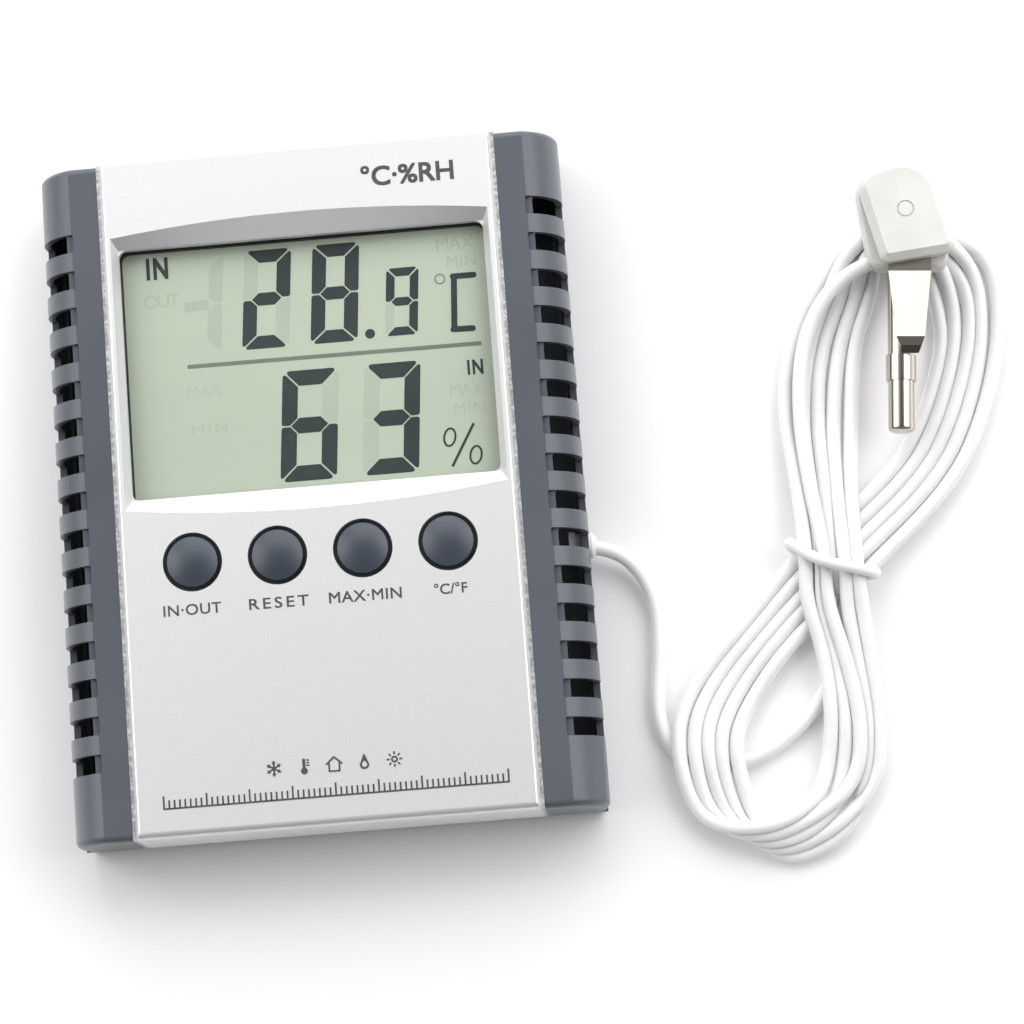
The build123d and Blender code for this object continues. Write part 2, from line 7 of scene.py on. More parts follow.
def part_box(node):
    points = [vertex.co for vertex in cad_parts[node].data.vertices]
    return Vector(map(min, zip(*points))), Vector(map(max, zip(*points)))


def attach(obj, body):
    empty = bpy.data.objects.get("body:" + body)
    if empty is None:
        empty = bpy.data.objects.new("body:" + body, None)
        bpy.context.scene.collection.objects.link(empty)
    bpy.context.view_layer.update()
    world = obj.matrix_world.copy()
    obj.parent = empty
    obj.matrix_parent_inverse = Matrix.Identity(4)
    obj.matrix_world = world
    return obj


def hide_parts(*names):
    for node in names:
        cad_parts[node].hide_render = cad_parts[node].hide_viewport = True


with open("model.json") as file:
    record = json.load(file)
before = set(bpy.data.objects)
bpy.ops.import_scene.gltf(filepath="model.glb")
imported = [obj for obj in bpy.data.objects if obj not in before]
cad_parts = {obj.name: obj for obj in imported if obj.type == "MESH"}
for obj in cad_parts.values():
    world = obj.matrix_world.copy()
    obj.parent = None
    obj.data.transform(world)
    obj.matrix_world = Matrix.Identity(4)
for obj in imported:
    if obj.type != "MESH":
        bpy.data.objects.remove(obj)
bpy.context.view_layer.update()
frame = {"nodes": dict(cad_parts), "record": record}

nodes = frame["nodes"]
mm = 0.001


def deselectAll():
    if bpy.context.object and bpy.context.object.mode != "OBJECT":
        bpy.ops.object.mode_set(mode="OBJECT")
    bpy.ops.object.select_all(action="DESELECT")


def pick(obj):
    deselectAll()
    obj.select_set(True)
    bpy.context.view_layer.objects.active = obj


def applyPlace(obj):                  # puts the piece's place, turn and size into its mesh
    pick(obj)
    bpy.ops.object.transform_apply(location=True, rotation=True, scale=True)


def selectVerts(obj, rule):           # edit mode, with the vertices that fit the rule selected
    pick(obj)
    for vertex in obj.data.vertices:
        vertex.select = rule(vertex.co)
    for edge in obj.data.edges:
        edge.select = all(obj.data.vertices[v].select for v in edge.vertices)
    for face in obj.data.polygons:
        face.select = all(obj.data.vertices[v].select for v in face.vertices)
    bpy.ops.object.mode_set(mode="EDIT")


def joinPieces(pieces):
    deselectAll()
    for piece in pieces:
        piece.select_set(True)
    bpy.context.view_layer.objects.active = pieces[0]
    if len(pieces) > 1:
        bpy.ops.object.join()
    return bpy.context.view_layer.objects.active


def stagger(pieces):                  # pieces that cross must not share a surface
    for k, piece in enumerate(pieces):
        piece.data.transform(Matrix.Translation((0, 0, (k % 9) * 0.003 * mm)))
    return pieces


def thicken(obj, depth):              # a flat outline becomes a thin solid, depth upwards
    pick(obj)
    bpy.ops.object.mode_set(mode="EDIT")
    bpy.ops.mesh.select_all(action="SELECT")
    bpy.ops.mesh.extrude_region_move(TRANSFORM_OT_translate={"value": (0, 0, depth)})
    bpy.ops.mesh.select_all(action="SELECT")
    bpy.ops.mesh.normals_make_consistent(inside=False)
    bpy.ops.object.mode_set(mode="OBJECT")


def finishPiece(obj, name, finish, body="root"):
    applyPlace(obj)
    obj.name = name
    obj.data.name = name
    obj.data.materials.clear()
    obj.data.materials.append(finish)
    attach(obj, body)
    return obj


cameraSettings = {
    "place": (0.0601, -0.1268, 0.6709),
    "lookAt": (0.0359, -0.0070, 0.010),
    "upHint": (0.0829, 0.9811, 0.1748),
    "lens": 124.3,
}


def addCamera(settings):
    place = Vector(settings["place"])
    back = (place - Vector(settings["lookAt"])).normalized()
    right = Vector(settings["upHint"]).cross(back).normalized()
    up = back.cross(right)
    bpy.ops.object.camera_add()
    camera = bpy.context.object
    turn = Matrix((right, up, back)).transposed().to_4x4()
    camera.matrix_world = Matrix.Translation(place) @ turn
    camera.data.lens = settings["lens"]
    camera.data.clip_start = 0.01
    bpy.context.scene.camera = camera


addCamera(cameraSettings)
print("camera placed")


def newFinish(name, color, rough, metal=0.0, specular=0.5, coat=0.0, coatRough=0.1):
    finish = bpy.data.materials.new(name)
    finish.use_nodes = True
    shader = finish.node_tree.nodes["Principled BSDF"]
    shader.inputs["Base Color"].default_value = (*color, 1.0)
    shader.inputs["Roughness"].default_value = rough
    shader.inputs["Metallic"].default_value = metal
    shader.inputs["Specular IOR Level"].default_value = specular
    shader.inputs["Coat Weight"].default_value = coat
    shader.inputs["Coat Roughness"].default_value = coatRough
    return finish, finish.node_tree, shader


def addNoise(tree, scale, detail=3.0, stretch=None):
    place = tree.nodes.new("ShaderNodeTexCoord")
    noise = tree.nodes.new("ShaderNodeTexNoise")
    noise.inputs["Scale"].default_value = scale
    noise.inputs["Detail"].default_value = detail
    source = place.outputs["Object"]
    if stretch:
        mapping = tree.nodes.new("ShaderNodeMapping")
        mapping.inputs["Scale"].default_value = stretch
        tree.links.new(source, mapping.inputs["Vector"])
        source = mapping.outputs["Vector"]
    tree.links.new(source, noise.inputs["Vector"])
    return noise


def addRamp(tree, source, low, high, lowColor, highColor):
    ramp = tree.nodes.new("ShaderNodeValToRGB")
    ramp.color_ramp.elements[0].position = low
    ramp.color_ramp.elements[1].position = high
    ramp.color_ramp.elements[0].color = (*lowColor, 1.0)
    ramp.color_ramp.elements[1].color = (*highColor, 1.0)
    tree.links.new(source, ramp.inputs["Fac"])
    return ramp


def addRange(tree, source, low, high, fromLow=0.0, fromHigh=1.0):
    remap = tree.nodes.new("ShaderNodeMapRange")
    remap.inputs["From Min"].default_value = fromLow
    remap.inputs["From Max"].default_value = fromHigh
    remap.inputs["To Min"].default_value = low
    remap.inputs["To Max"].default_value = high
    tree.links.new(source, remap.inputs["Value"])
    return remap


def addBump(tree, shader, source, strength, distance):
    bump = tree.nodes.new("ShaderNodeBump")
    bump.inputs["Strength"].default_value = strength
    bump.inputs["Distance"].default_value = distance
    tree.links.new(source, bump.inputs["Height"])
    tree.links.new(bump.outputs["Normal"], shader.inputs["Normal"])
    return bump


def mottled(name, dark, light, rough, cloudScale, grainScale, grainDepth, **more):
    # slightly uneven colour and gloss over a fine surface grain: the base of most finishes here
    finish, tree, shader = newFinish(name, light, rough, **more)
    cloud = addNoise(tree, cloudScale)
    shade = addRamp(tree, cloud.outputs["Fac"], 0.35, 0.65, dark, light)
    tree.links.new(shade.outputs["Color"], shader.inputs["Base Color"])
    gloss = addRange(tree, cloud.outputs["Fac"], rough - 0.05, rough + 0.05)
    tree.links.new(gloss.outputs["Result"], shader.inputs["Roughness"])
    grain = addNoise(tree, grainScale, detail=2.0)
    addBump(tree, shader, grain.outputs["Fac"], 0.5, grainDepth)
    return finish


cordSettings = {
    "diameter": 2.8 * mm,
    "exit": (0.0514, -0.0139, 0.005),
    "turns": 5,
    "firstTieHeight": 4.4,     # in mm; the first strand is pressed in lower than the others
    "wander": 0.30 * mm,       # how far a strand strays from its own lane
    "wanderPerTurn": 2.1, "wanderPerStation": 1.7,   # how its straying changes, in radians
    "wanderUp": 0.4,           # share of the straying along Y
    "softness": 0.6,           # light soaks into the sheath this much, and this far
    "softDepth": 1.5 * mm,
}


def cordSheathFinish(settings):
    finish = mottled("cordSheath", (0.71, 0.706, 0.712), (0.77, 0.765, 0.772), 0.46, 90, 2500,
                     0.00002)
    shader = finish.node_tree.nodes["Principled BSDF"]
    shader.inputs["Subsurface Weight"].default_value = settings["softness"]
    shader.inputs["Subsurface Radius"].default_value = (1.0, 1.0, 1.0)
    shader.inputs["Subsurface Scale"].default_value = settings["softDepth"]
    return finish


cordSheath = cordSheathFinish(cordSettings)
cordRoute = [                  # metres; free stretch, then under the lower loop of the hank
    (0.0464, -0.0136, 0.0050),
    (0.0536, -0.0144, 0.0047),
    (0.0588, -0.0182, 0.0027),
    (0.06195, -0.0254, 0.0016),
    (0.0616, -0.0355, 0.00145),
    (0.0600, -0.0465, 0.00145),
    (0.0624, -0.0542, 0.00145),
    (0.0690, -0.0583, 0.00145),
    (0.0775, -0.0570, 0.00145),
    (0.0853, -0.0528, 0.00145),
    (0.0916, -0.0465, 0.00145),
    (0.0960, -0.0395, 0.00150),
    (0.0975, -0.0300, 0.00220),
]
# one turn of the hank: where its first strand passes and where its last one does, in mm, and
# how high each of the two lies; "a" lanes run from the tie up the left, "b" down the right to
# the lower left, "c" round the bottom and "n" back up the right to the tie
hankStations = [
    ("tie", "a", (90.9, -19.5), (100.5, -23.0), 6.1, 6.1),
    ("upLeft", "a", (90.3, -4.5), (100.6, -7.5), 3.4, 3.4),
    ("upLeft", "a", (89.4, 8.0), (101.6, 5.5), 1.5, 1.5),
    ("upLeft", "a", (91.2, 20.5), (103.6, 21.0), 1.5, 1.5),
    ("upLeft", "a", (96.4, 32.5), (108.2, 31.0), 1.5, 1.5),
    ("top", "a", (103.0, 41.0), (109.3, 38.0), 1.5, 1.5),
    ("top", "a", (113.0, 46.2), (114.0, 40.0), 1.5, 1.5),
    ("top", "a", (123.6, 42.6), (119.2, 37.6), 1.5, 1.5),
    ("upRight", "b", (121.0, 27.0), (132.0, 36.5), 1.5, 1.5),
    ("upRight", "b", (120.8, 19.5), (132.2, 21.5), 1.5, 1.5),
    ("upRight", "b", (115.7, 6.0), (128.0, 6.6), 1.5, 1.5),
    ("upRight", "b", (108.8, -4.8), (120.6, -6.9), 1.9, 1.9),
    ("underTie", "b", (88.4, -19.9), (103.0, -22.3), 3.3, 3.3),
    ("lowLeft", "b", (81.0, -28.2), (86.7, -34.8), 2.2, 2.2),
    ("lowLeft", "b", (65.9, -43.0), (77.1, -47.0), 1.9, 1.9),
    ("lowLeft", "b", (63.3, -54.6), (73.8, -55.2), 4.2, 4.2),
    ("bottomLeft", "c", (66.5, -68.2), (76.5, -68.6), 2.6, 1.6),
    ("bottom", "c", (78.0, -70.9), (82.0, -76.9), 7.2, 1.6),
    ("bottom", "c", (86.8, -67.4), (94.0, -72.8), 6.0, 1.6),
    ("bottomRight", "n", (91.6, -61.2), (100.4, -63.2), 2.0, 1.6),
    ("lowRight", "n", (93.1, -49.5), (102.2, -53.0), 4.2, 2.0),
    ("lowRight", "n", (92.5, -38.0), (101.3, -39.8), 4.4, 2.6),
    ("underTop", "n", (90.3, -27.4), (100.4, -30.6), 4.9, 4.6),
]
upLanes = [0.5, 0.28, 1.0, 0.0, 0.75, 0.4]       # lane of each upper left strand, turn by turn
topLift = [0.0, 2.8, 0.0, 0.0, 2.8]              # strands lie on one another round the top
lastLanes = [(0.60, 3.0), (0.64, 3.9), (0.46, 4.9), (0.33, 5.6)]   # lane and height, last turn


def hankPoints(settings):
    points = []
    for turn in range(settings["turns"]):
        last = turn == settings["turns"] - 1
        late = 0
        for k, (name, kind, left, right, leftHeight, rightHeight) in enumerate(hankStations):
            lane = upLanes[turn]
            if kind in ("b", "c"):
                lane = 1.0 - lane
            if kind == "n":
                lane = upLanes[turn + 1]
            height = leftHeight + (rightHeight - leftHeight) * lane
            if kind == "n" and last:
                lane, height = lastLanes[late]
                late += 1
            if turn == 0 and name == "tie":
                height = settings["firstTieHeight"]
            if name == "top":
                height += topLift[turn]
            x = left[0] + (right[0] - left[0]) * lane
            y = left[1] + (right[1] - left[1]) * lane
            stray = settings["wander"] / mm * sin(settings["wanderPerTurn"] * turn
                                                  + settings["wanderPerStation"] * k)
            points.append(((x + stray) * mm, (y + stray * settings["wanderUp"]) * mm, height * mm))
    return points


cordEnd = [                    # metres; last strand: up the left side, over the others and in
    (0.0943, -0.0190, 0.0063),
    (0.0927, -0.0050, 0.0052),
    (0.0920, 0.0080, 0.0040),
    (0.0935, 0.0210, 0.0042),
    (0.0980, 0.0300, 0.0050),
    (0.1040, 0.0350, 0.0062),
    (0.1090, 0.0362, 0.0078),
    (0.1125, 0.0385, 0.0084),
]


def addStrand(name, points, diameter, closed, roundness):      # a tube along a smooth line
    curve = bpy.data.curves.new(name, "CURVE")
    curve.dimensions = "3D"
    spline = curve.splines.new("NURBS")
    spline.points.add(len(points) - 1)
    for target, point in zip(spline.points, points):
        target.co = (*point, 1.0)
    spline.order_u = 3
    spline.use_endpoint_u = not closed
    spline.use_cyclic_u = closed
    spline.resolution_u = 8
    curve.bevel_depth = diameter / 2
    curve.bevel_resolution = roundness
    curve.use_fill_caps = not closed
    strand = bpy.data.objects.new(name, curve)
    bpy.context.collection.objects.link(strand)
    return strand


def addCord(settings):
    points = cordRoute + hankPoints(settings) + cordEnd
    cord = addStrand("probeCord", points, settings["diameter"], closed=False, roundness=5)
    cord.data.materials.append(cordSheath)
    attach(cord, "root")
    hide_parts("cord_tube", "cord_hank")
    return cord


tieSettings = {
    "diameter": 2.2 * mm,
    # its upper run from left to right, in mm, and the heights of its lower and upper runs
    "over": [(88.0, -16.6), (91.6, -20.0), (95.6, -21.7), (99.8, -22.9), (103.7, -23.7)],
    "low": 1.15, "high": 8.6,
    "shoulder": 2.3,           # how far from the two runs the turns at its ends lie
}


def addTie(settings):          # one round strand, closed on itself about the waist of the hank
    path, low, high = settings["over"], settings["low"], settings["high"]
    reach = settings["shoulder"]
    points = [(*path[0], high - reach)]
    points += [(x, y, high) for x, y in path[1:-1]]
    points += [(*path[-1], high - reach), (*path[-1], low + reach)]
    points += [(x, y, low) for x, y in reversed(path[1:-1])]
    points += [(*path[0], low + reach)]
    points = [[value * mm for value in point] for point in points]
    tie = addStrand("hankTie", points, settings["diameter"], closed=True, roundness=4)
    pick(tie)
    bpy.ops.object.convert(target="MESH")
    tie = bpy.context.object
    bpy.ops.object.shade_smooth()
    finishPiece(tie, "hankTie", cordSheath)
    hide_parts("hank_tie")
    return tie


def lengthOf(curveObject):
    bare = curveObject.data.copy()
    bare.bevel_depth = 0.0
    holder = bpy.data.objects.new("bareLine", bare)
    line = bpy.data.meshes.new_from_object(holder)
    total = sum((line.vertices[e.vertices[0]].co - line.vertices[e.vertices[1]].co).length
                for e in line.edges)
    bpy.data.objects.remove(holder)
    bpy.data.meshes.remove(line)
    bpy.data.curves.remove(bare)
    return total


cord = addCord(cordSettings)
tie = addTie(tieSettings)
cordLength = round(lengthOf(cord), 2)
print("cord placed, length", cordLength)


silverSettings = {
    "dark": (0.655, 0.653, 0.658), "light": (0.72, 0.718, 0.723),
    "flakeScale": 5600,
    "wearScale": 1300, "wornColor": (0.32, 0.32, 0.33),
    "wearStart": 37.3 * mm, "wearFull": 37.8 * mm,   # distances from the middle of the face
}


def silverPaint(settings):
    # fine metal flake under clear lacquer; the low ledges are worn to specks beside the rails
    finish, tree, shader = newFinish("silverPaint", settings["light"], 0.42, metal=0.74,
                                     coat=0.10, coatRough=0.3)
    flake = addNoise(tree, settings["flakeScale"], detail=1.0)
    tint = addRamp(tree, flake.outputs["Fac"], 0.32, 0.70, settings["dark"], settings["light"])
    place = tree.nodes.new("ShaderNodeTexCoord")
    split = tree.nodes.new("ShaderNodeSeparateXYZ")
    tree.links.new(place.outputs["Object"], split.inputs["Vector"])
    aside = tree.nodes.new("ShaderNodeMath")
    aside.operation = "ABSOLUTE"
    tree.links.new(split.outputs["X"], aside.inputs[0])
    ledge = addRange(tree, aside.outputs["Value"], 0.0, 1.0, settings["wearStart"],
                     settings["wearFull"])
    wear = addNoise(tree, settings["wearScale"], detail=4.0)
    speck = addRange(tree, wear.outputs["Fac"], 0.2, 1.0, 0.36, 0.56)
    both = tree.nodes.new("ShaderNodeMath")
    both.operation = "MULTIPLY"
    tree.links.new(ledge.outputs["Result"], both.inputs[0])
    tree.links.new(speck.outputs["Result"], both.inputs[1])
    mix = tree.nodes.new("ShaderNodeMix")
    mix.data_type = "RGBA"
    mix.inputs["B"].default_value = (*settings["wornColor"], 1.0)
    tree.links.new(both.outputs["Value"], mix.inputs["Factor"])
    tree.links.new(tint.outputs["Color"], mix.inputs["A"])
    tree.links.new(mix.outputs["Result"], shader.inputs["Base Color"])
    gloss = addRange(tree, flake.outputs["Fac"], 0.38, 0.48)
    tree.links.new(gloss.outputs["Result"], shader.inputs["Roughness"])
    addBump(tree, shader, flake.outputs["Fac"], 0.15, 0.000010)
    return finish


lensSettings = {"tint": (0.97, 0.98, 0.97), "gloss": 0.05, "bending": 1.25}


def lensFinish(settings):
    # polished clear window: see-through, with the gloss of its front surface
    finish = bpy.data.materials.new("clearLens")
    finish.use_nodes = True
    tree = finish.node_tree
    tree.nodes.remove(tree.nodes["Principled BSDF"])
    clear = tree.nodes.new("ShaderNodeBsdfTransparent")
    clear.inputs["Color"].default_value = (*settings["tint"], 1.0)
    gloss = tree.nodes.new("ShaderNodeBsdfGlossy")
    gloss.inputs["Roughness"].default_value = settings["gloss"]
    fresnel = tree.nodes.new("ShaderNodeFresnel")
    fresnel.inputs["IOR"].default_value = settings["bending"]
    both = tree.nodes.new("ShaderNodeMixShader")
    facing = tree.nodes.new("ShaderNodeNewGeometry")           # no gloss on the way out
    front = addRange(tree, facing.outputs["Backfacing"], 1.0, 0.0)
    share = tree.nodes.new("ShaderNodeMath")
    share.operation = "MULTIPLY"
    tree.links.new(fresnel.outputs["Fac"], share.inputs[0])
    tree.links.new(front.outputs["Result"], share.inputs[1])
    tree.links.new(share.outputs["Value"], both.inputs["Fac"])
    tree.links.new(clear.outputs["BSDF"], both.inputs[1])
    tree.links.new(gloss.outputs["BSDF"], both.inputs[2])
    tree.links.new(both.outputs["Shader"], tree.nodes["Material Output"].inputs["Surface"])
    return finish


finishes = {
    "silver_paint": silverPaint(silverSettings),
    "clear_lens": lensFinish(lensSettings),
    "dark_plastic": mottled("darkPlastic", (0.066, 0.074, 0.090), (0.080, 0.088, 0.105), 0.34, 25,
                            3600, 0.00002, specular=0.45),
    "button_plastic": mottled("buttonPlastic", (0.032, 0.041, 0.057), (0.041, 0.051, 0.069), 0.34,
                              40, 3600, 0.000014, specular=0.5),
    "black_frame": mottled("blackFrame", (0.006, 0.006, 0.007), (0.01, 0.01, 0.011), 0.6, 60, 3000,
                           0.00001),
    "display_glass": mottled("displayGlass", (0.435, 0.478, 0.398), (0.465, 0.505, 0.423), 0.3,
                             18, 2500, 0.000004),
    "reflector_film": mottled("reflectorFilm", (0.6, 0.6, 0.58), (0.7, 0.7, 0.68), 0.4, 200, 3000,
                              0.00001, metal=0.8),
    "contact_rubber": mottled("contactRubber", (0.20, 0.08, 0.08), (0.32, 0.14, 0.13), 0.6, 1500,
                              3000, 0.00001),
    "board_green": mottled("boardGreen", (0.01, 0.10, 0.04), (0.015, 0.15, 0.06), 0.35, 300, 2500,
                           0.00001),
    "can_steel": mottled("canSteel", (0.5, 0.5, 0.5), (0.62, 0.62, 0.62), 0.35, 500, 4000, 0.00001,
                         metal=1.0),
    "resin_black": mottled("resinBlack", (0.01, 0.01, 0.01), (0.018, 0.018, 0.018), 0.2, 200, 900,
                           0.00003),
    "capacitor_sleeve": mottled("capacitorSleeve", (0.015, 0.02, 0.07), (0.02, 0.03, 0.10), 0.3,
                                200, 2000, 0.00001),
    "sensor_shell": mottled("sensorShell", (0.10, 0.20, 0.42), (0.12, 0.26, 0.52), 0.5, 300, 3000,
                            0.00001),
    "bead_epoxy": mottled("beadEpoxy", (0.02, 0.02, 0.02), (0.035, 0.035, 0.035), 0.25, 400, 3000,
                          0.00001),
    "cell_jacket": mottled("cellJacket", (0.04, 0.16, 0.08), (0.05, 0.20, 0.10), 0.3, 150, 2500,
                           0.00001, coat=0.3),
    "spring_nickel": mottled("springNickel", (0.55, 0.53, 0.50), (0.66, 0.64, 0.60), 0.28, 600,
                             3000, 0.00001, metal=1.0),
    "screw_steel": mottled("screwSteel", (0.42, 0.42, 0.43), (0.55, 0.55, 0.56), 0.34, 600, 3000,
                           0.00001, metal=1.0),
    "grommet_rubber": mottled("grommetRubber", (0.66, 0.66, 0.66), (0.76, 0.76, 0.75), 0.5, 200,
                              2500, 0.00002),
    "cord_white": cordSheath,
    "probe_nickel": mottled("probeNickel", (0.52, 0.48, 0.41), (0.57, 0.53, 0.46), 0.12, 60, 2500,
                            0.000004, metal=1.0),
    "pad_white": mottled("padWhite", (0.575, 0.572, 0.546), (0.62, 0.616, 0.589), 0.42, 120, 2500,
                         0.00001),
}
slotOfNode = {part["node"]: part["material_slot"] for part in frame["record"]["subparts"]}
for nodeName, node in nodes.items():
    node.data.materials.clear()
    node.data.materials.append(finishes[slotOfNode[nodeName]])
print("finishes set")


displaySettings = {           # places and sizes of the signs are in mm
    "slant": 0.083,            # lean of the digits, across per up
    "gap": 0.30 * mm,          # light line between two segments
    "inkDepth": 0.03 * mm,
    "mitre": 0.7,              # a mitre's share of the gap, measured level
    # shares of a segment's own width: how its corners are cut or rounded
    "barRound": 0.42, "middlePoint": 0.49, "middleInset": 0.55,
    "uprightPoint": 0.45, "uprightRound": 0.36, "uprightNick": 0.15,
    "upper": {"height": 19.3 * mm, "width": 9.0 * mm, "upright": 2.7 * mm, "bar": 2.5 * mm},
    "tenths": {"height": 13.2 * mm, "width": 6.2 * mm, "upright": 1.65 * mm, "bar": 1.65 * mm},
    "lower": {"height": 21.4 * mm, "width": 10.75 * mm, "upright": 3.0 * mm, "bar": 3.0 * mm},
    "point": ((11.8, 28.4), 0.95),                   # the decimal point: place and radius
    "indoor": [((-30.2, 42.5), 4.3, 4.2, 0.68),      # corner, height, width and stroke
               ((29.8, 18.8), 2.9, 3.0, 0.46)],
    "unit": [((28.3, 38.2), (32.3, 38.2)), ((28.5, 37.9), (27.9, 28.0)),
             ((27.7, 27.9), (31.4, 27.8))],          # the three strokes of the C
    "unitStroke": 1.15, "unitEnd": 0.57,             # width, and radius of the round ends
    "degree": ((25.8, 37.9), 1.05, 0.25),            # middle, radius and stroke
    "percentSlash": ((25.6, 1.4), (30.2, 9.4), 0.5),
    "percentRings": [(25.5, 7.1), (30.2, 3.3)],
    "percentRing": (1.25, 1.9, 0.38),                # half width, half height and stroke
    "percentLean": radians(-12),
    "rule": ((-23.4, 24.95), (32.8, 24.75), 0.8),    # the line between the two readings
    "faintMinus": ((-23.3, 36.5), (-18.6, 36.8), 1.9),
    "faintWords": [            # word, left, right, low, high
        ("MAX", 25.6, 32.8, 43.4, 46.0), ("MIN", 27.4, 32.9, 40.1, 42.2),
        ("MAX", 26.2, 32.5, 15.0, 17.4), ("MIN", 26.8, 32.5, 11.5, 13.5),
        ("OUT", -31.0, -24.2, 36.9, 39.6), ("MAX", -23.6, -17.2, 19.0, 21.2),
        ("MIN", -23.2, -16.6, 11.6, 13.6),
    ],
}
digits = [                     # look, lower left corner in mm, lit segments, unlit ones that show
    ("upper", (-25.8, 27.3), "", "bc"),          # the hundreds place only ever shows a one
    ("upper", (-12.75, 27.3), "abged", "fc"),
    ("upper", (0.35, 27.3), "abcdefg", ""),
    ("tenths", (14.65, 27.6), "abcdfg", "e"),
    ("lower", (-7.1, 1.05), "acdefg", "b"),
    ("lower", (8.5, 1.05), "abcdg", "fe"),
]
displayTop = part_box("lcd_glass")[1][2]


def addPlate(left, right, low, high, z):         # a flat rectangle, all in metres
    bpy.ops.mesh.primitive_plane_add(size=1, location=((left + right) / 2, (low + high) / 2, z))
    plate = bpy.context.object
    plate.scale = (right - left, high - low, 1)
    applyPlace(plate)
    return plate


def bevelCorners(offset, segments=1):
    bpy.ops.mesh.bevel(offset=offset, segments=segments, affect="VERTICES", profile=0.5)


def moveVerts(across, up):
    bpy.ops.transform.translate(value=(across, up, 0))


def addSegment(letter, look, settings):          # one segment, for a digit standing at the origin
    h, w, v, s = look["height"], look["width"], look["upright"], look["bar"]
    half, gap = h / 2, settings["gap"]
    flat, inset = gap * settings["mitre"], v * settings["middleInset"]
    if letter in "ad":
        bar = addPlate(flat, w - flat, 0, s, 0)
        selectVerts(bar, lambda co: co.y > s / 2)
        bpy.ops.transform.resize(value=((w - 2 * v - 2 * flat) / (w - 2 * flat), 1, 1),
                                 center_override=(w / 2, s, 0))
        bpy.ops.object.mode_set(mode="OBJECT")
        selectVerts(bar, lambda co: co.y < s / 2)
        bevelCorners(s * settings["barRound"], 4)
    elif letter == "g":
        bar = addPlate(inset + flat, w - inset - flat, half - s / 2, half + s / 2, 0)
        selectVerts(bar, lambda co: True)
        bevelCorners(s * settings["middlePoint"])
    else:
        bar = addPlate(0, v, flat, half - gap / 2, 0)          # "e", the lower left one
        selectVerts(bar, lambda co: co.y < half / 2 and co.x > v / 2)
        moveVerts(0, s)
        bpy.ops.object.mode_set(mode="OBJECT")
        selectVerts(bar, lambda co: co.y > half / 2 and co.x > v / 2)
        bevelCorners(v * settings["uprightPoint"])
        bpy.ops.object.mode_set(mode="OBJECT")
        selectVerts(bar, lambda co: co.y < half / 2 and co.x < v / 2)
        bevelCorners(v * settings["uprightRound"], 4)
        bpy.ops.object.mode_set(mode="OBJECT")
        selectVerts(bar, lambda co: co.y > half * 0.8 and co.x < v / 4)
        bevelCorners(v * settings["uprightNick"], 2)
    bpy.ops.object.mode_set(mode="OBJECT")
    sideways = -1 if letter in "bc" else 1
    upwards = -1 if letter in "abf" else 1
    bar.scale = (sideways, upwards, 1)
    bar.location = (w if sideways < 0 else 0, h if upwards < 0 else 0, 0)
    applyPlace(bar)
    pick(bar)
    bpy.ops.object.mode_set(mode="EDIT")
    bpy.ops.mesh.select_all(action="SELECT")
    bpy.ops.mesh.normals_make_consistent(inside=False)
    bpy.ops.object.mode_set(mode="OBJECT")
    return bar


def addDigit(look, corner, letters, settings, z):
    bars = [addSegment(letter, settings[look], settings) for letter in letters]
    digit = joinPieces(bars)
    lean = Matrix.Identity(4)
    lean[0][1] = settings["slant"]
    digit.data.transform(lean)
    digit.location = (corner[0] * mm, corner[1] * mm, z)
    applyPlace(digit)
    return digit


def spreadOf(obj):                               # lowest and highest corner of a flat mesh
    return [[pickEnd(vertex.co[axis] for vertex in obj.data.vertices) for axis in (0, 1)]
            for pickEnd in (min, max)]


def flatWords(text, spacing):
    bpy.ops.object.text_add(location=(0, 0, 0))
    words = bpy.context.object
    words.data.body = text
    words.data.space_character = spacing
    words.data.resolution_u = 4
    pick(words)
    bpy.ops.object.convert(target="MESH")
    return bpy.context.object


def addWords(text, left, right, low, high, z, bold=0.0, keep=0.5):
    # a word made to fit its box, in mm: keep is the share of the fitting done by the spacing
    # of its letters, and the rest widens the letters themselves; bold makes its strokes wider
    widths = []
    for spacing in (1.0, 1.5):
        trial = flatWords(text, spacing)
        lows, highs = spreadOf(trial)
        widths.append((highs[0] - lows[0]) / (highs[1] - lows[1]))
        bpy.data.objects.remove(trial)
    wanted = (right - left) / (high - low)
    spacing = 1.0 + keep * (wanted - widths[0]) / (widths[1] - widths[0]) * 0.5
    words = flatWords(text, min(max(spacing, 0.85), 1.8))
    lows, highs = spreadOf(words)
    words.scale = ((right - left - bold) * mm / (highs[0] - lows[0]),
                   (high - low - bold) * mm / (highs[1] - lows[1]), 1)
    words.location = (left * mm - lows[0] * words.scale[0], low * mm - lows[1] * words.scale[1], z)
    applyPlace(words)
    if bold:
        copies = [words]
        for across, up in ((1, 1), (1, 0), (0, 1)):
            again = words.copy()
            again.data = words.data.copy()
            bpy.context.collection.objects.link(again)
            again.location = (across * bold * mm, up * bold * mm, 0)
            applyPlace(again)
            copies.append(again)
        words = joinPieces(stagger(copies))
    return words


def addDot(center, radius, z):                   # a flat disc, in mm
    bpy.ops.mesh.primitive_circle_add(vertices=24, radius=radius * mm, fill_type="NGON",
                                      location=(center[0] * mm, center[1] * mm, z))
    dot = bpy.context.object
    applyPlace(dot)
    return dot


